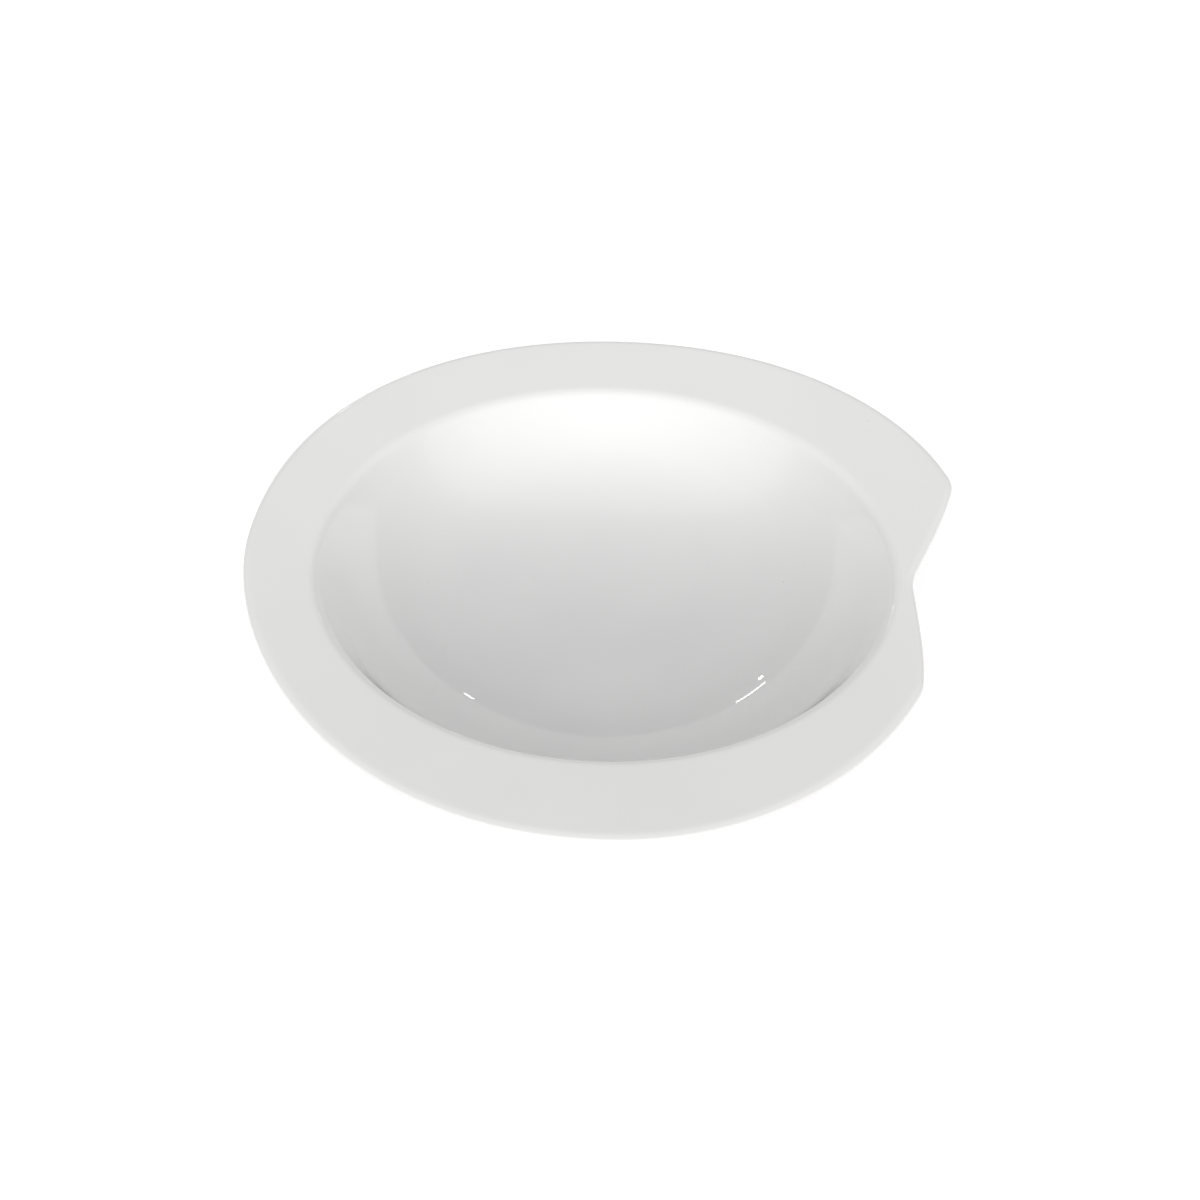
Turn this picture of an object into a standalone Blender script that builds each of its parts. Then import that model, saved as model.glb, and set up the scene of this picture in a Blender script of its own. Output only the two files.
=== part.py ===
"""One-piece porcelain dish: a deep round well inside a wide rim that is cut by a notch on its +X side.

The dish is made as its mould is made. A blank is turned round the well's axis, an outline cuts the
rim to its plan shape, and the cut edge is rounded over. Metres, +Z up, the foot ring stands on Z = 0,
and the origin is the middle of the outline's box on that surface.
"""

import math

import bpy
from mathutils import Vector

MM = 0.001

# Well: a flat floor, two tangent arcs and a straight wall up to the rim
WELL_RADIUS = 100 * MM          # where the wall's line meets the rim's line
FLOOR_RADIUS = 20.4 * MM        # flat middle of the floor
HEEL_RADIUS = 100.4 * MM        # section arc next to the floor
HEEL_SLOPE = math.radians(24)   # slope where the two arcs meet
SIDE_RADIUS = 66 * MM           # section arc next to the wall
WALL_SLOPE = math.radians(60)
LIP_RADIUS = 5 * MM             # rounding from the wall onto the rim

# Rim: a shallow cone that rises outwards
RIM_SLOPE = math.atan(0.1)
RIM_BLANK_RADIUS = 142 * MM     # turned rim, before the outline cuts it
EDGE_ROUND = 2.3 * MM           # rounding of the cut edge, above and below

# Body thickness and foot ring
THICKNESS = 5 * MM
UNDER_LIP_RADIUS = 7 * MM       # fillet under the rim
BASE_CLEARANCE = 2.5 * MM       # lowest point of the base above the table
FOOT_OUTER_RADIUS = 55 * MM
FOOT_WIDTH = 7 * MM
FOOT_DRAFT = math.radians(12)   # lean of the ring's two sides
FOOT_ROUND = 1 * MM             # rounding beside the flat band it stands on

# Rim outline round the well's axis, anticlockwise, in mm and degrees:
# x, y, heading, length of the handle before the knot and after it
OUTLINE = (
    (105.0, -18.5, 88, 19.0, 3.0),      # bottom of the notch, lower side
    (107.0, -9.5, 66, 3.0, 10.0),       # bottom of the notch, upper side
    (126.0, 34.5, 73, 16.0, 3.5),       # upper tip, notch side
    (126.0, 44.0, 104, 3.5, 48.5),      # upper tip, rim side
    (2.5, 133.5, 180, 67.0, 69.5),      # furthest point back
    (-124.5, 3.0, 270, 82.0, 51.5),     # furthest point left
    (1.5, -133.5, 0, 83.5, 48.0),       # furthest point forward
    (99.0, -71.5, 61, 34.0, 2.5),       # lower tip, rim side
    (101.5, -64.5, 80, 2.5, 14.5),      # lower tip, notch side
)

# Facets
FACET_DEPTH = 0.15 * MM         # how far a flat facet may lie inside the arc it stands for
OUTLINE_STEPS = 14              # per stretch between two knots
EDGE_SEGMENTS = 3

PORCELAIN = (0.86, 0.86, 0.85, 1.0)


def facets(radius, turn):
    """How many straight facets stand for an arc of this radius and turn."""
    facet_turn = 2 * math.acos(1 - FACET_DEPTH / radius)
    return max(2, math.ceil(abs(turn) / facet_turn))


def arc(centre, radius, start, end):
    """Points (r, z) of an arc below its centre that starts and ends at these slopes."""
    steps = facets(radius, end - start)
    points = []
    for i in range(steps + 1):
        slope = start + (end - start) * i / steps
        points.append(centre + radius * Vector((math.sin(slope), -math.cos(slope))))
    return points


def rounded_corner(before, corner, after, radius):
    """Points of the arc of this radius that replaces a corner between two straight lines."""
    to_before = (before - corner).normalized()
    to_after = (after - corner).normalized()
    half = to_before.angle(to_after) / 2
    inwards = (to_before + to_after).normalized()
    centre = corner + inwards * (radius / math.sin(half))
    first = corner + to_before * (radius / math.tan(half)) - centre
    last = corner + to_after * (radius / math.tan(half)) - centre
    turn = math.atan2(first.cross(last), first.dot(last))
    steps = facets(radius, turn)
    points = []
    for i in range(steps + 1):
        angle = turn * i / steps
        cosine = math.cos(angle)
        sine = math.sin(angle)
        spoke = Vector((first.x * cosine - first.y * sine, first.x * sine + first.y * cosine))
        points.append(centre + spoke)
    return points


def meeting_point(point, slope, other_point, other_slope):
    """Where two sloping lines of the section cross."""
    grade = math.tan(slope)
    other_grade = math.tan(other_slope)
    run = other_point.y - point.y - other_grade * (other_point.x - point.x)
    run /= grade - other_grade
    return point + Vector((run, run * grade))


def bowl_section(floor_height, offset):
    """The well's section at this distance below its surface, from the axis to the top of the arcs."""
    heel_centre = Vector((FLOOR_RADIUS, floor_height + HEEL_RADIUS))
    join = Vector((math.sin(HEEL_SLOPE), -math.cos(HEEL_SLOPE)))
    side_centre = heel_centre + join * (HEEL_RADIUS - SIDE_RADIUS)
    points = [Vector((0, floor_height - offset))]
    points += arc(heel_centre, HEEL_RADIUS + offset, 0, HEEL_SLOPE)
    points += arc(side_centre, SIDE_RADIUS + offset, HEEL_SLOPE, WALL_SLOPE)[1:]
    return points


def height_at(section, radius):
    """Height of a section where it passes this radius."""
    for low, high in zip(section, section[1:]):
        if low.x <= radius <= high.x:
            return low.y + (high.y - low.y) * (radius - low.x) / (high.x - low.x)
    raise ValueError("the section does not reach this radius")


def foot_section(underside):
    """The foot ring's section, from its outer root down, across the flat band and up again."""
    inner_radius = FOOT_OUTER_RADIUS - FOOT_WIDTH
    outer_height = height_at(underside, FOOT_OUTER_RADIUS)
    inner_height = height_at(underside, inner_radius)
    outer_root = Vector((FOOT_OUTER_RADIUS, outer_height))
    inner_root = Vector((inner_radius, inner_height))
    outer_toe = Vector((FOOT_OUTER_RADIUS - outer_height * math.tan(FOOT_DRAFT), 0))
    inner_toe = Vector((inner_radius + inner_height * math.tan(FOOT_DRAFT) / 2, 0))
    points = [outer_root]
    points += rounded_corner(outer_root, outer_toe, inner_toe, FOOT_ROUND)
    points += rounded_corner(outer_toe, inner_toe, inner_root, FOOT_ROUND)
    points.append(inner_root)
    return points


def dish_section():
    """The blank's whole section: the rim and underside down to the axis, run on its outer side."""
    floor_height = BASE_CLEARANCE + THICKNESS
    top = bowl_section(floor_height, 0)
    under = bowl_section(floor_height, THICKNESS)

    wall_run = WELL_RADIUS - top[-1].x
    lip = top[-1] + Vector((wall_run, wall_run * math.tan(WALL_SLOPE)))
    rim_run = RIM_BLANK_RADIUS - WELL_RADIUS
    rim_end = lip + Vector((rim_run, rim_run * math.tan(RIM_SLOPE)))

    rim_drop = THICKNESS / math.cos(RIM_SLOPE)
    under_rim_end = rim_end - Vector((0, rim_drop))
    under_lip = meeting_point(under[-1], WALL_SLOPE, under_rim_end, RIM_SLOPE)

    points = list(top)
    points += rounded_corner(top[-1], lip, rim_end, LIP_RADIUS)
    points += [rim_end, under_rim_end]
    points += rounded_corner(under_rim_end, under_lip, under[-1], UNDER_LIP_RADIUS)
    points += [point for point in reversed(under) if point.x > FOOT_OUTER_RADIUS]
    points += foot_section(under)
    points += [point for point in reversed(under) if point.x < FOOT_OUTER_RADIUS - FOOT_WIDTH]
    return points


def outline_curve(name, height):
    """The rim's outline as a filled curve with this thickness, centred on Z = 0."""
    curve = bpy.data.curves.new(name, "CURVE")
    curve.dimensions = "2D"
    curve.fill_mode = "BOTH"
    curve.extrude = height / 2
    curve.resolution_u = OUTLINE_STEPS
    spline = curve.splines.new("BEZIER")
    spline.bezier_points.add(len(OUTLINE) - 1)
    spline.use_cyclic_u = True
    for knot, (x, y, heading, before, after) in zip(spline.bezier_points, OUTLINE):
        direction = Vector((math.cos(math.radians(heading)), math.sin(math.radians(heading)), 0))
        knot.handle_left_type = "FREE"
        knot.handle_right_type = "FREE"
        knot.co = Vector((x, y, 0)) * MM
        knot.handle_left = knot.co - direction * before * MM
        knot.handle_right = knot.co + direction * after * MM
    return curve


def porcelain():
    """White glazed porcelain."""
    material = bpy.data.materials.new("porcelain")
    material.use_nodes = True
    shader = material.node_tree.nodes["Principled BSDF"]
    shader.inputs["Base Color"].default_value = PORCELAIN
    shader.inputs["Roughness"].default_value = 0.08
    shader.inputs["Metallic"].default_value = 0.0
    material.diffuse_color = PORCELAIN
    return material


def make_outline_cutter(collection):
    """A closed block of the outline's shape, much taller than the rim, to cut the blank with."""
    block_height = 4 * WELL_RADIUS
    curve = outline_curve("rim_outline", block_height)
    curve_object = bpy.data.objects.new("rim_outline_curve", curve)
    collection.objects.link(curve_object)
    depsgraph = bpy.context.evaluated_depsgraph_get()
    mesh = bpy.data.meshes.new_from_object(curve_object.evaluated_get(depsgraph))
    bpy.data.objects.remove(curve_object)

    cutter = bpy.data.objects.new("rim_outline", mesh)
    collection.objects.link(cutter)
    weld = cutter.modifiers.new("close_caps", "WELD")
    weld.merge_threshold = 0.01 * MM
    cutter.hide_render = True
    cutter.display_type = "WIRE"
    return cutter


def make_dish(collection, cutter):
    """The dish body: the turned blank, cut to the outline, with its edge rounded over."""
    section = dish_section()
    mesh = bpy.data.meshes.new("dish_body")
    edges = [(i, i + 1) for i in range(len(section) - 1)]
    mesh.from_pydata([(point.x, 0, point.y) for point in section], edges, [])
    mesh.materials.append(porcelain())
    dish = bpy.data.objects.new("dish_body", mesh)
    collection.objects.link(dish)

    turn = dish.modifiers.new("turn", "SCREW")
    turn.axis = "Z"
    turn.angle = 2 * math.pi
    turn.steps = facets(RIM_BLANK_RADIUS, turn.angle)
    turn.render_steps = turn.steps
    turn.use_merge_vertices = True
    turn.merge_threshold = 0.01 * MM
    turn.use_normal_flip = True

    cut = dish.modifiers.new("cut_to_outline", "BOOLEAN")
    cut.operation = "INTERSECT"
    cut.object = cutter

    edge = dish.modifiers.new("round_edge", "BEVEL")
    edge.width = EDGE_ROUND
    edge.segments = EDGE_SEGMENTS
    edge.limit_method = "ANGLE"
    edge.angle_limit = math.radians(60)
    edge.use_clamp_overlap = False
    return dish


def centre_of(corners):
    """Middle of the box round these points, in X and Y."""
    xs = [corner[0] for corner in corners]
    ys = [corner[1] for corner in corners]
    return Vector(((min(xs) + max(xs)) / 2, (min(ys) + max(ys)) / 2, 0))


for old in list(bpy.data.objects):
    bpy.data.objects.remove(old)

parts = bpy.data.collections.new("notched_porcelain_dish")
cutters = bpy.data.collections.new("cutters")
bpy.context.scene.collection.children.link(parts)
bpy.context.scene.collection.children.link(cutters)

outline_block = make_outline_cutter(cutters)
dish_body = make_dish(parts, outline_block)

shift = centre_of([vertex.co for vertex in outline_block.data.vertices])
outline_block.location = -shift
dish_body.location = -shift
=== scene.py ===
"""A glazed porcelain dish with a notched rim, on a pale table in soft studio light."""

import math

import bpy
from mathutils import Matrix, Vector


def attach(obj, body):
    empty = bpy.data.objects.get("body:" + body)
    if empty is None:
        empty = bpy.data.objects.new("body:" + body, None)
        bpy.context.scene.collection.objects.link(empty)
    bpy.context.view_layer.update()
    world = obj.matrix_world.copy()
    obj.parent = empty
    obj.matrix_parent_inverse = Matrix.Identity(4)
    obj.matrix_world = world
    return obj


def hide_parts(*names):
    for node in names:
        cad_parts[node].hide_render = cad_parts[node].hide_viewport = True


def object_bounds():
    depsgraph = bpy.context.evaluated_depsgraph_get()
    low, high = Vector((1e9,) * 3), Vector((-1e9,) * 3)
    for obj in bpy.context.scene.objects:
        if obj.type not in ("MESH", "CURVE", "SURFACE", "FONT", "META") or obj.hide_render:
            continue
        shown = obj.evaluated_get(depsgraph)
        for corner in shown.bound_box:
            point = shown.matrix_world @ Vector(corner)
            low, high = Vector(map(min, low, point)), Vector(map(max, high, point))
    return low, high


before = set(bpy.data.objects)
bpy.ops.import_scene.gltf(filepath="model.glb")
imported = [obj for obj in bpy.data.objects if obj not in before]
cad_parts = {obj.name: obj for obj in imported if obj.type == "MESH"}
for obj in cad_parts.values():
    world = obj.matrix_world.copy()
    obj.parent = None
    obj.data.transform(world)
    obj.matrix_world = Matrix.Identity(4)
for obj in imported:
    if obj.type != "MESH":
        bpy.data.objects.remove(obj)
cad_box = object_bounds()


# ---- Dish body -----------------------------------------------------------------------------------
# One piece of white porcelain, pressed in a mould: a deep round well, a wide rim that is cut by a
# notch, and a foot ring. Its section is turned round the well's axis, and the rim is then stretched
# or drawn in to an outline, the only part of the shape that isn't round.

MM = 0.001

WELL_RADIUS = 100 * MM          # where the wall's line meets the rim's line
FLOOR_RADIUS = 20.4 * MM        # flat middle of the floor
HEEL_RADIUS = 100.4 * MM        # section arc next to the floor
HEEL_SLOPE = math.radians(24)
SIDE_RADIUS = 66 * MM           # section arc next to the wall
WALL_SLOPE = math.radians(60)
LIP_RADIUS = 5 * MM             # rounding from the wall onto the rim
RIM_START = 102.7 * MM          # from here out, the rim is stretched to the outline
RIM_END = 130 * MM              # inner end of the edge's easing, before it is stretched
RIM_GRADE = 0.1                 # rise of the rim for each unit outwards
THICKNESS = 5 * MM
EDGE_WIDTH = 3.6 * MM           # from the rim's end to the corner that the edge rounds over
EASING_RADIUS = 5 * MM          # the rim falls away gently before its edge
EASING_SLOPE = math.radians(-16)
EDGE_RADIUS = 0.9 * MM
UNDERCUT = math.radians(48)     # lean of the side under the edge, from upright
UNDERCUT_RADIUS = 5 * MM
OUTLINE_INSET = 0.03 * MM       # the glaze stays this far inside the outline
UNDER_LIP_RADIUS = 7 * MM
BASE_CLEARANCE = 2.5 * MM       # lowest point of the base above the table
FOOT_OUTER_RADIUS = 55 * MM
FOOT_WIDTH = 7 * MM
FOOT_DRAFT = math.radians(12)
FOOT_ROUND = 1 * MM
FOOT_FILLET = 2 * MM            # glaze gathers in the corners beside the foot ring

# The rim's edge round the well's axis, anticlockwise, in mm and degrees:
# x, y, heading, length of the handle before the knot and after it
OUTLINE = (
    (105.0, -18.5, 88, 19.0, 3.0),      # bottom of the notch, lower side
    (107.0, -9.5, 66, 3.0, 10.0),       # bottom of the notch, upper side
    (126.0, 34.5, 73, 16.0, 3.5),       # upper tip, notch side
    (126.0, 44.0, 104, 3.5, 48.5),      # upper tip, rim side
    (2.5, 133.5, 180, 67.0, 69.5),      # furthest point back
    (-124.5, 3.0, 270, 82.0, 51.5),     # furthest point left
    (1.5, -133.5, 0, 83.5, 48.0),       # furthest point forward
    (99.0, -71.5, 61, 34.0, 2.5),       # lower tip, rim side
    (101.5, -64.5, 80, 2.5, 14.5),      # lower tip, notch side
)
OUTLINE_STEPS = 18              # columns of the mesh between two knots

LONGEST_TURN = math.radians(11)     # between two rings of the mesh
LONGEST_STEP = 6 * MM
SHORT_STEP = 0.7 * MM               # at the two ends of a straight stretch, to hold its arcs' shape
MERGE_DISTANCE = 0.001 * MM         # closes the seam and the two poles
COLUMN_NUDGE = 0.5 / 4096           # keeps a whole quotient from rounding down, below 4096 rings


def arc(centre, radius, start, end):
    """Points (radius, height) of an arc below its centre, between two slopes."""
    turn = abs(end - start)
    steps = math.ceil(max(turn / LONGEST_TURN, turn * radius / LONGEST_STEP))
    points = []
    for i in range(steps + 1):
        slope = start + (end - start) * i / steps
        points.append(centre + radius * Vector((math.sin(slope), -math.cos(slope))))
    return points


def rounded_corner(before, corner, after, radius):
    """Points of the arc of this radius that replaces a corner between two straight lines."""
    to_before = (before - corner).normalized()
    to_after = (after - corner).normalized()
    half = to_before.angle(to_after) / 2
    centre = corner + (to_before + to_after).normalized() * (radius / math.sin(half))
    first = corner + to_before * (radius / math.tan(half)) - centre
    last = corner + to_after * (radius / math.tan(half)) - centre
    turn = math.atan2(first.cross(last), first.dot(last))
    steps = math.ceil(abs(turn) / LONGEST_TURN)
    points = []
    for i in range(steps + 1):
        angle = turn * i / steps
        across = Vector((-first.y, first.x))
        points.append(centre + first * math.cos(angle) + across * math.sin(angle))
    return points


def bowl_section(floor_height, offset):
    """The well's section at this distance below its surface, from the axis to the top of the arcs."""
    heel_centre = Vector((FLOOR_RADIUS, floor_height + HEEL_RADIUS))
    join = Vector((math.sin(HEEL_SLOPE), -math.cos(HEEL_SLOPE)))
    side_centre = heel_centre + join * (HEEL_RADIUS - SIDE_RADIUS)
    points = [Vector((0, floor_height - offset))]
    points += arc(heel_centre, HEEL_RADIUS + offset, 0, HEEL_SLOPE)
    points += arc(side_centre, SIDE_RADIUS + offset, HEEL_SLOPE, WALL_SLOPE)[1:]
    return points


def point_at(section, radius):
    """Where a section passes this radius."""
    for low, high in zip(section, section[1:]):
        if low.x <= radius <= high.x:
            return low.lerp(high, (radius - low.x) / (high.x - low.x))
    raise ValueError("the section does not reach this radius")


def foot_section(underside):
    """The foot ring from its outer fillet down, across the flat band and up to its inner fillet."""
    inner_radius = FOOT_OUTER_RADIUS - FOOT_WIDTH
    beside_outer = point_at(underside, FOOT_OUTER_RADIUS + 2 * FOOT_FILLET)
    outer_root = point_at(underside, FOOT_OUTER_RADIUS)
    outer_toe = Vector((FOOT_OUTER_RADIUS - outer_root.y * math.tan(FOOT_DRAFT), 0))
    inner_root = point_at(underside, inner_radius)
    inner_toe = Vector((inner_radius + inner_root.y * math.tan(FOOT_DRAFT) / 2, 0))
    beside_inner = point_at(underside, inner_radius - 2 * FOOT_FILLET)
    points = rounded_corner(beside_outer, outer_root, outer_toe, FOOT_FILLET)
    points += rounded_corner(outer_root, outer_toe, inner_toe, FOOT_ROUND)
    points += rounded_corner(outer_toe, inner_toe, inner_root, FOOT_ROUND)
    points += rounded_corner(inner_toe, inner_root, beside_inner, FOOT_FILLET)
    return points


def straight(start, end):
    """Points along a straight stretch, without its start. A long one gets a short step at each end."""
    length = (end - start).length
    if length <= LONGEST_STEP:
        return [end]
    steps = math.ceil(length / LONGEST_STEP)
    shares = [SHORT_STEP / length]
    shares += [i / steps for i in range(1, steps)]
    shares += [1 - SHORT_STEP / length, 1]
    return [start.lerp(end, share) for share in shares]


def dish_section():
    """The whole section, from the middle of the floor out over the rim and back under the base."""
    floor_height = BASE_CLEARANCE + THICKNESS
    top = bowl_section(floor_height, 0)
    under = bowl_section(floor_height, THICKNESS)

    wall = Vector((1, math.tan(WALL_SLOPE)))
    rim = Vector((1, RIM_GRADE))
    lip = top[-1] + wall * (WELL_RADIUS - top[-1].x)
    easing_turn = math.atan(RIM_GRADE) - EASING_SLOPE
    easing = lip + rim * (RIM_END + EASING_RADIUS * math.tan(easing_turn / 2) - WELL_RADIUS)
    edge = easing + Vector((1, math.tan(EASING_SLOPE))) * (RIM_END + EDGE_WIDTH - easing.x)
    side = Vector((-math.sin(UNDERCUT), -math.cos(UNDERCUT)))
    drop = Vector((0, THICKNESS * rim.length))
    under_edge = edge + side * ((lip - drop - edge).cross(rim) / side.cross(rim))
    under_lip = under[-1] + wall * ((lip - drop - under[-1]).cross(rim) / wall.cross(rim))

    outside = [point for point in reversed(under) if point.x > FOOT_OUTER_RADIUS + 2 * FOOT_FILLET]
    foot = foot_section(under)
    base = [point for point in reversed(under) if point.x < foot[-1].x - FOOT_FILLET]
    corners = list(top)
    corners += rounded_corner(top[-1], lip, easing, LIP_RADIUS)
    corners += rounded_corner(lip, easing, edge, EASING_RADIUS)
    corners += rounded_corner(easing, edge, under_edge, EDGE_RADIUS)
    corners += rounded_corner(edge, under_edge, under_lip, UNDERCUT_RADIUS)
    corners += rounded_corner(under_edge, under_lip, under[-1], UNDER_LIP_RADIUS)
    corners += outside + foot + base

    points = [corners[0]]
    for start, end in zip(corners, corners[1:]):
        points += straight(start, end)
    reach = max(point.x for point in points) - RIM_END
    return points, lip.y, reach


def outline_object():
    """The outline as a closed curve that the geometry nodes read."""
    curve = bpy.data.curves.new("rim_outline", "CURVE")
    curve.resolution_u = OUTLINE_STEPS
    spline = curve.splines.new("BEZIER")
    spline.bezier_points.add(len(OUTLINE) - 1)
    spline.use_cyclic_u = True
    for knot, (x, y, heading, before, after) in zip(spline.bezier_points, OUTLINE):
        direction = Vector((math.cos(math.radians(heading)), math.sin(math.radians(heading)), 0))
        knot.handle_left_type = "FREE"
        knot.handle_right_type = "FREE"
        knot.co = Vector((x, y, 0)) * MM
        knot.handle_left = knot.co - direction * before * MM
        knot.handle_right = knot.co + direction * after * MM
    piece = bpy.data.objects.new("rim_outline", curve)
    bpy.context.scene.collection.objects.link(piece)
    return piece


class Value:
    """A socket of a node tree. Arithmetic on it adds the nodes that work the result out."""

    def __init__(self, nodes, socket):
        self.nodes = nodes
        self.socket = socket

    def is_vector(self):
        return self.socket.type == "VECTOR"

    def math(self, operation, *terms):
        kind = "ShaderNodeVectorMath" if self.is_vector() else "ShaderNodeMath"
        return self.nodes.add(kind, dict(enumerate(terms)), operation=operation)

    def __add__(self, other):
        return self.math("ADD", self, other)

    def __radd__(self, other):
        return self.math("ADD", other, self)

    def __sub__(self, other):
        return self.math("SUBTRACT", self, other)

    def __rsub__(self, other):
        return self.math("SUBTRACT", other, self)

    def __mul__(self, other):
        if self.is_vector():
            return self.nodes.add("ShaderNodeVectorMath", {0: self, "Scale": other}, operation="SCALE")
        return self.math("MULTIPLY", self, other)

    def __rmul__(self, other):
        return self * other

    def __truediv__(self, other):
        return self.math("DIVIDE", self, other)

    def __rtruediv__(self, other):
        return self.math("DIVIDE", other, self)

    def __mod__(self, other):
        return self.math("MODULO", self, other)

    def floor(self):
        return self.math("FLOOR", self)

    def at_least(self, other):
        return self.math("MAXIMUM", self, other)

    def at_most(self, other):
        return self.math("MINIMUM", self, other)

    def unit(self):
        return self.math("NORMALIZE", self)

    def length(self):
        return self.nodes.add("ShaderNodeVectorMath", {0: self}, "Value", operation="LENGTH")

    def axis(self, letter):
        return self.nodes.add("ShaderNodeSeparateXYZ", {0: self}, letter)

    def step(self, low, high):
        """0 below the low limit and 1 above the high one, with a smooth change between them."""
        limits = {"Value": self, "From Min": low, "From Max": high}
        return self.nodes.add("ShaderNodeMapRange", limits, interpolation_type="SMOOTHSTEP")


class Nodes:
    """Adds nodes to one tree and hands back what they give."""

    def __init__(self, tree):
        self.tree = tree

    def add(self, kind, inputs=(), output=0, **settings):
        node = self.tree.nodes.new(kind)
        for name, value in settings.items():
            setattr(node, name, value)
        for name, value in dict(inputs).items():
            self.plug(node.inputs[name], value)
        return Value(self, node.outputs[output])

    def plug(self, socket, value):
        if isinstance(value, Value):
            self.tree.links.new(value.socket, socket)
        else:
            socket.default_value = value

    def mix(self, share, first, second):
        """A blend of two colours."""
        return self.add("ShaderNodeMix", {0: share, 6: first, 7: second}, 2, data_type="RGBA")


def dish_tree():
    """Geometry nodes that turn a section into the dish and stretch its rim to an outline."""
    tree = bpy.data.node_groups.new("turned_and_stretched", "GeometryNodeTree")
    face = tree.interface
    face.new_socket("Section", in_out="INPUT", socket_type="NodeSocketGeometry")
    face.new_socket("Outline", in_out="INPUT", socket_type="NodeSocketObject")
    for name in ("Rim Start", "Rim End", "Edge Reach", "Inset"):
        socket = face.new_socket(name, in_out="INPUT", socket_type="NodeSocketFloat")
        socket.subtype = "DISTANCE"
    face.new_socket("Rim Grade", in_out="INPUT", socket_type="NodeSocketFloat")
    face.new_socket("Glaze", in_out="INPUT", socket_type="NodeSocketMaterial")
    face.new_socket("Dish", in_out="OUTPUT", socket_type="NodeSocketGeometry")

    nodes = Nodes(tree)
    given = {}
    for socket in tree.nodes.new("NodeGroupInput").outputs:
        given[socket.name] = Value(nodes, socket)
    rim_start = given["Rim Start"]
    rim_end = given["Rim End"]
    reach = given["Edge Reach"]

    # The outline's own points are the columns of the mesh, and the section's are its rings
    loop = nodes.add("GeometryNodeObjectInfo", {"Object": given["Outline"]}, "Geometry")
    loop = nodes.add("GeometryNodeResampleCurve", {"Curve": loop}, mode="EVALUATED")
    columns = nodes.add("GeometryNodeAttributeDomainSize", {0: loop}, "Point Count", component="CURVE")
    rings = nodes.add("GeometryNodeAttributeDomainSize", {0: given["Section"]}, "Point Count")
    grid = nodes.add("GeometryNodeMeshGrid", {"Vertices X": columns + 1, "Vertices Y": rings})
    index = nodes.add("GeometryNodeInputIndex")
    column = (index / rings + COLUMN_NUDGE).floor() % columns
    ring = index % rings

    def sample(geometry, field, at):
        inputs = {"Geometry": geometry, "Value": field, "Index": at}
        return nodes.add("GeometryNodeSampleIndex", inputs, data_type="FLOAT_VECTOR")

    place = nodes.add("GeometryNodeInputPosition")
    along = nodes.add("GeometryNodeInputTangent")
    section = sample(given["Section"], place, ring)
    edge = sample(loop, place, column)
    heading = sample(loop, along, column)
    outwards = nodes.add("ShaderNodeCombineXYZ", {"X": heading.axis("Y"), "Y": heading.axis("X") * -1})

    # The rim runs straight out to where its edge starts, and the edge then keeps its own shape
    radius = section.axis("X")
    edge_line = edge - outwards * (reach + given["Inset"])
    spoke = edge_line.unit()
    share = ((radius - rim_start) / (rim_end - rim_start)).at_least(0).at_most(1)
    inner = spoke * radius.at_most(rim_start)
    flat = inner + (edge_line - inner) * share + outwards * (radius - rim_end).at_least(0)
    rise = (flat.length() - radius) * given["Rim Grade"]
    height = nodes.add("ShaderNodeCombineXYZ", {"Z": section.axis("Z") + rise})

    # 1 along the edge, where the glaze runs thin, and 0 elsewhere
    thin = ((radius - rim_end) / reach).at_least(0).at_most(1)
    named = {"Geometry": grid, "Name": "thin_glaze", "Value": thin}
    grid = nodes.add("GeometryNodeStoreNamedAttribute", named, data_type="FLOAT", domain="POINT")

    dish = nodes.add("GeometryNodeSetPosition", {"Geometry": grid, "Position": flat + height})
    dish = nodes.add("GeometryNodeMergeByDistance", {"Geometry": dish, "Distance": MERGE_DISTANCE})
    dish = nodes.add("GeometryNodeSetShadeSmooth", {"Geometry": dish})
    dish = nodes.add("GeometryNodeRealizeInstances", {"Geometry": dish})
    dish = nodes.add("GeometryNodeSetMaterial", {"Geometry": dish, "Material": given["Glaze"]})
    nodes.plug(tree.nodes.new("NodeGroupOutput").inputs["Dish"], dish)
    return tree


def make_dish(glaze):
    """The dish as a plain mesh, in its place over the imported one."""
    low, high = cad_box
    well_axis = Vector((low.x, low.y, 0)) - Vector((OUTLINE[5][0], OUTLINE[6][1], 0)) * MM
    section, lip_height, reach = dish_section()
    outline = outline_object()

    mesh = bpy.data.meshes.new("dish_section")
    edges = [(i, i + 1) for i in range(len(section) - 1)]
    mesh.from_pydata([(point.x, 0, point.y) for point in section], edges, [])
    source = bpy.data.objects.new("dish_section", mesh)
    bpy.context.scene.collection.objects.link(source)

    tree = dish_tree()
    turned = source.modifiers.new("turned_and_stretched", "NODES")
    turned.node_group = tree
    given = {
        "Outline": outline,
        "Rim Start": RIM_START,
        "Rim End": RIM_END,
        "Edge Reach": reach,
        "Inset": OUTLINE_INSET,
        "Rim Grade": RIM_GRADE,
        "Glaze": glaze,
    }
    for item in tree.interface.items_tree:
        if item.in_out == "INPUT" and item.name in given:
            turned[item.identifier] = given[item.name]

    depsgraph = bpy.context.evaluated_depsgraph_get()
    finished = bpy.data.meshes.new_from_object(source.evaluated_get(depsgraph))
    finished.transform(Matrix.Translation(well_axis))
    bpy.data.objects.remove(source)
    bpy.data.objects.remove(outline)

    dish = bpy.data.objects.new("porcelain_dish", finished)
    bpy.context.scene.collection.objects.link(dish)
    smooth = dish.modifiers.new("smooth", "SUBSURF")
    smooth.levels = 1
    smooth.render_levels = 1
    return dish, well_axis, lip_height


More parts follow.
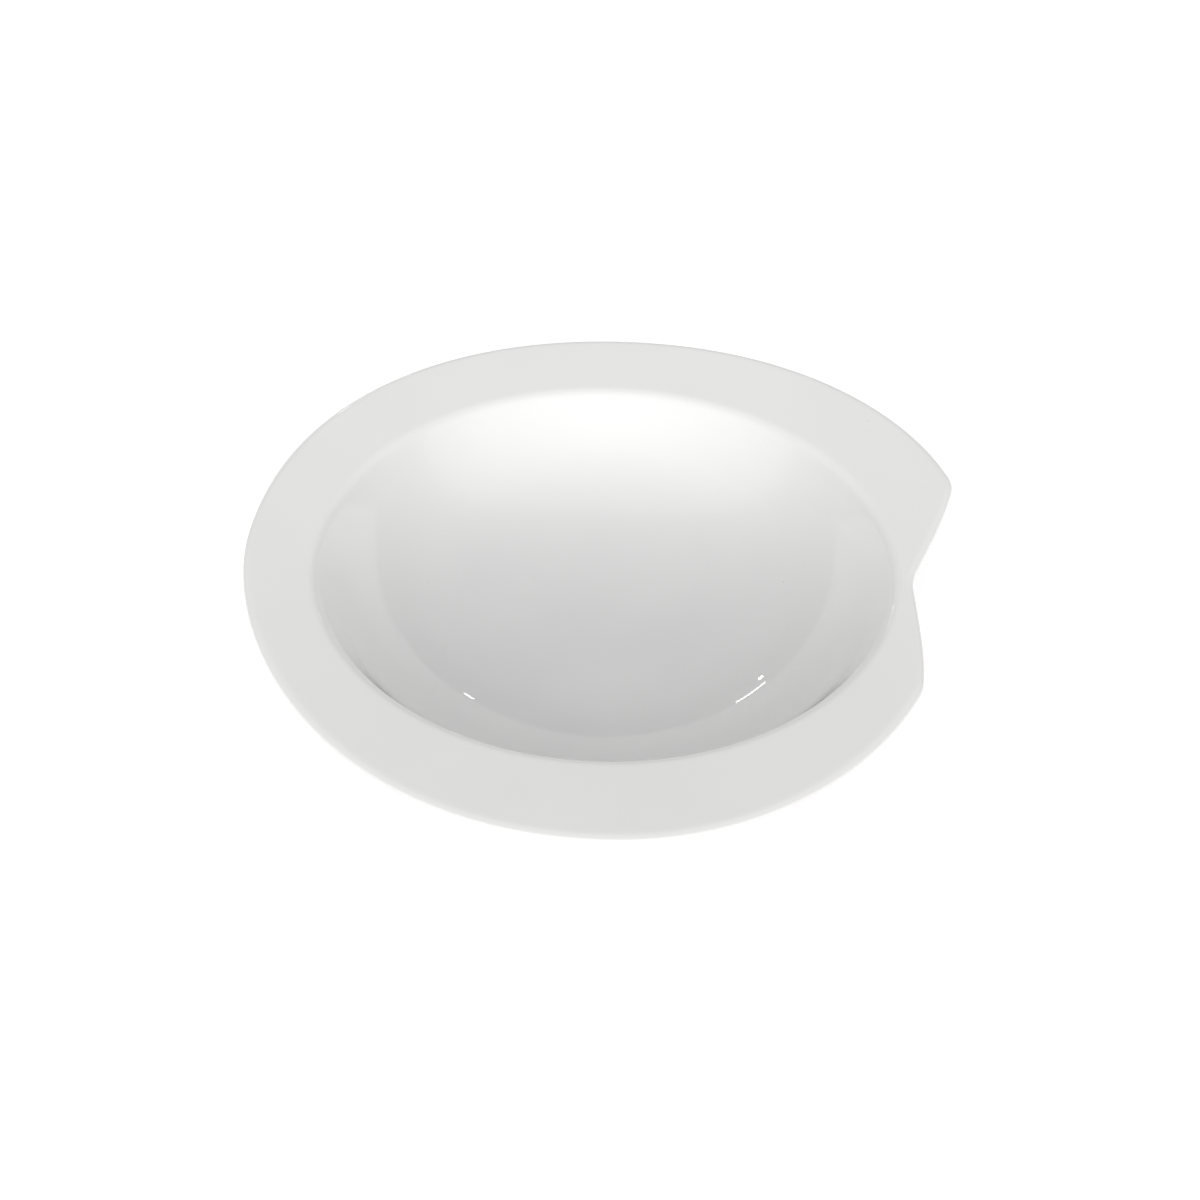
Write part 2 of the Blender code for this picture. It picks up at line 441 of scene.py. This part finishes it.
# Tones of the glaze and of what shows through it, with a darker tone painted on towards the well's
# floor as shade
RIM_TONE = (0.795, 0.795, 0.788, 1)
# painted shade: the floor of the well is drawn darker than the rim, for the shade that falls in it
WELL_SHADE_TONE = (0.655, 0.658, 0.655, 1)
CLOUD_TONE = (0.745, 0.745, 0.737, 1)
BODY_TONE = (0.730, 0.720, 0.700, 1)        # porcelain under thin glaze
SPECK_TONE = (0.28, 0.25, 0.22, 1)
BISCUIT_TONE = (0.78, 0.75, 0.70, 1)        # bare fired clay
WELL_SHADE_BOTTOM = 4 * MM                        # the painted shade of the floor gives way to the rim's tone from here
WELL_SHADE_TOP = 55 * MM                          # up to here
CLOUD_SHARE = 0.2
THIN_START = 0.45                           # of the way over the edge
THIN_SHARE = 0.5
SPECK_SHARE = 0.45

# Roughness, and how far up the foot ring is bare
ROUGHNESS = 0.32
CLOUD_ROUGHNESS = 0.08                      # added where the glaze clouds
BARE_ROUGHNESS = 0.4                        # added on the bare band
COAT_ROUGHNESS = 0.02
BARE_HEIGHT = 0.3 * MM
GLAZE_HEIGHT = 0.6 * MM                     # fully glazed from here up
GLAZE_LINE_WANDER = 0.6 * MM

# Scales are per metre and depths are of the relief
CLOUD_SCALE = 22
SPECK_CELLS = 30
CLEAN_CELLS = 0.93                          # share of the cells that have no speck
SPECK_GROWTH = 0.15                         # of a cell, as a cell's chance goes from 0 to 1
SMALLEST_SPECK = 0.0001                     # of a cell
RIPPLE_SCALE = 420
RIPPLE_DEPTH = 0.002 * MM
WAVE_SCALE = 60
WAVE_DEPTH = 0.03 * MM
GRAIN_SCALE = 2500
GRAIN_DEPTH = 0.05 * MM


def porcelain_glaze():
    """Clear glaze over white porcelain, bare and matt where the foot ring stands."""
    material = bpy.data.materials.new("porcelain_glaze")
    material.use_nodes = True
    shader = material.node_tree.nodes["Principled BSDF"]
    nodes = Nodes(material.node_tree)
    place = nodes.add("ShaderNodeTexCoord", output="Object")
    height = place.axis("Z")
    thin = nodes.add("ShaderNodeAttribute", output="Fac", attribute_name="thin_glaze")

    def noise(scale, detail):
        inputs = {"Vector": place, "Scale": scale, "Detail": detail}
        return nodes.add("ShaderNodeTexNoise", inputs, noise_dimensions="3D")

    # Shade is painted into the tone, darker towards the floor of the well, and the glaze clouds softly
    # everywhere
    clouds = noise(CLOUD_SCALE, 2)
    # painted shade: the tone darkens from the rim's down towards the well's floor
    painted_well_shade = 1 - height.step(WELL_SHADE_BOTTOM, WELL_SHADE_TOP)
    tone = nodes.mix(painted_well_shade, RIM_TONE, WELL_SHADE_TONE)
    tone = nodes.mix(clouds.step(0.35, 0.65) * CLOUD_SHARE, tone, CLOUD_TONE)
    tone = nodes.mix(thin.step(THIN_START, 1.0) * THIN_SHARE, tone, BODY_TONE)

    # A few dark specks, in the few cells whose chance lies above the share that stays clean
    cells = {"Vector": place, "Scale": SPECK_CELLS}
    centre = nodes.add("ShaderNodeTexVoronoi", cells, "Distance", voronoi_dimensions="2D")
    chance = nodes.add("ShaderNodeTexVoronoi", cells, "Color", voronoi_dimensions="2D")
    chosen = nodes.add("ShaderNodeSeparateColor", {"Color": chance}, "Red")
    size = (chosen - CLEAN_CELLS).at_least(0) * SPECK_GROWTH
    speck = 1 - (centre / (size + SMALLEST_SPECK)).step(0.5, 1.0)
    tone = nodes.mix(speck * SPECK_SHARE, tone, SPECK_TONE)

    # The foot ring is wiped clean of glaze before firing
    glaze_line = height + (clouds - 0.5) * GLAZE_LINE_WANDER
    bare = 1 - glaze_line.step(BARE_HEIGHT, GLAZE_HEIGHT)
    nodes.plug(shader.inputs["Base Color"], nodes.mix(bare, tone, BISCUIT_TONE))
    nodes.plug(shader.inputs["Roughness"], ROUGHNESS + clouds * CLOUD_ROUGHNESS + bare * BARE_ROUGHNESS)
    nodes.plug(shader.inputs["Coat Weight"], 1 - bare)
    shader.inputs["Coat Roughness"].default_value = COAT_ROUGHNESS

    # A fine ripple and a slow wave in the porcelain under the clear coat, and grain on the bare foot
    ripple = noise(RIPPLE_SCALE, 1) * RIPPLE_DEPTH
    wave = noise(WAVE_SCALE, 1) * WAVE_DEPTH
    grain = noise(GRAIN_SCALE, 2) * bare * GRAIN_DEPTH
    metres = {"Height": ripple + wave + grain, "Strength": 1.0, "Distance": 1.0}
    relief = nodes.add("ShaderNodeBump", metres)
    nodes.plug(shader.inputs["Normal"], relief)
    return material


dish, well_axis, lip_height = make_dish(porcelain_glaze())
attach(dish, "root")
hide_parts("dish_body")


# ---- Table, light and camera ---------------------------------------------------------------------
# A plain white table, much wider than the view. The room lights the dish, mostly from the window's
# side in front of it, and three small lamps behind it make the small highlights in the well.

CAMERA_LENS = 45                # mm, on a 36 mm sensor
CAMERA_RISE = math.radians(40.93)
CAMERA_ROLL = math.radians(1.25)
CAMERA_REACH = 501.6 * MM       # from the point it looks at
AIM = Vector((-1.3 * MM, -27.3 * MM, 0))    # from the well's axis, in the plane of the lip

TABLE_SIZE = 6.0
TABLE_TONE = (0.93, 0.93, 0.93, 1)
TABLE_ROUGHNESS = 0.9
TABLE_GLOW = 0.2

# Radiance of the room's parts; the window's is for looking level at it
WALL_LIGHT = 0.5
CEILING_LIGHT = 0.15
BLIND_LIGHT = 0.35
WINDOW_LIGHT = 2.3

# Lamps behind the dish: azimuth and elevation in degrees, width and height, radiance
LAMP_DISTANCE = 2.0
LAMPS = {
    "back_dot": (109.7, 23.2, 0.04, 0.04, 16),
    "back_bar": (106.5, 19.6, 0.20, 0.03, 9),
    "back_spot": (76.5, 20.0, 0.055, 0.03, 8),
}


def make_camera():
    target = well_axis + AIM + Vector((0, 0, lip_height))
    back = Vector((0, -math.cos(CAMERA_RISE), math.sin(CAMERA_RISE)))
    right = Vector((1, 0, 0))
    up = back.cross(right)
    turned_right = right * math.cos(CAMERA_ROLL) + up * math.sin(CAMERA_ROLL)
    turned_up = up * math.cos(CAMERA_ROLL) - right * math.sin(CAMERA_ROLL)
    camera = bpy.data.objects.new("camera", bpy.data.cameras.new("camera"))
    camera.data.lens = CAMERA_LENS
    camera.data.sensor_width = 36
    place = Matrix((turned_right, turned_up, back)).transposed().to_4x4()
    place.translation = target + back * CAMERA_REACH
    camera.matrix_world = place
    bpy.context.scene.collection.objects.link(camera)
    bpy.context.scene.camera = camera


def make_table():
    """A wide white table top that glows a little, so that it stays white beside the dish."""
    half = TABLE_SIZE / 2
    corners = [(-half, -half, 0), (half, -half, 0), (half, half, 0), (-half, half, 0)]
    mesh = bpy.data.meshes.new("table")
    mesh.from_pydata(corners, [], [(0, 1, 2, 3)])
    material = bpy.data.materials.new("table_top")
    material.use_nodes = True
    shader = material.node_tree.nodes["Principled BSDF"]
    shader.inputs["Base Color"].default_value = TABLE_TONE
    shader.inputs["Roughness"].default_value = TABLE_ROUGHNESS
    shader.inputs["Emission Color"].default_value = (1, 1, 1, 1)
    shader.inputs["Emission Strength"].default_value = TABLE_GLOW
    mesh.materials.append(material)
    table = bpy.data.objects.new("table", mesh)
    bpy.context.scene.collection.objects.link(table)


def add_lamp(name, azimuth, elevation, width, height, radiance):
    """A flat lamp that faces the dish from this direction, in degrees round from +X and up."""
    lamp = bpy.data.lights.new(name, "AREA")
    lamp.shape = "RECTANGLE"
    lamp.size = width
    lamp.size_y = height
    lamp.energy = radiance * math.pi * width * height
    turn = math.radians(azimuth)
    rise = math.radians(elevation)
    away = Vector((math.cos(rise) * math.cos(turn), math.cos(rise) * math.sin(turn), math.sin(rise)))
    holder = bpy.data.objects.new(name, lamp)
    holder.location = away * LAMP_DISTANCE
    holder.rotation_euler = away.to_track_quat("Z", "Y").to_euler()
    bpy.context.scene.collection.objects.link(holder)


def make_room():
    """A dim room with a paler ceiling, and a wide window and white blind behind the camera."""
    world = bpy.data.worlds.new("studio")
    world.use_nodes = True
    nodes = Nodes(world.node_tree)
    direction = nodes.add("ShaderNodeTexCoord", output="Generated")
    forward = direction.axis("Y") * -1
    height = direction.axis("Z")

    ceiling = height.step(0.45, 0.53) * CEILING_LIGHT
    blind = forward.step(0.13, 0.25) * BLIND_LIGHT
    window = forward.at_least(0) * (1.1 - height) * height.step(0.0, 0.4) * WINDOW_LIGHT
    background = world.node_tree.nodes["Background"]
    background.inputs["Color"].default_value = (1, 1, 1, 1)
    nodes.plug(background.inputs["Strength"], ceiling + blind + window + WALL_LIGHT)
    bpy.context.scene.world = world


make_camera()
make_table()
for lamp_name, lamp_values in LAMPS.items():
    add_lamp(lamp_name, *lamp_values)
make_room()
bpy.context.scene.view_settings.view_transform = "Standard"
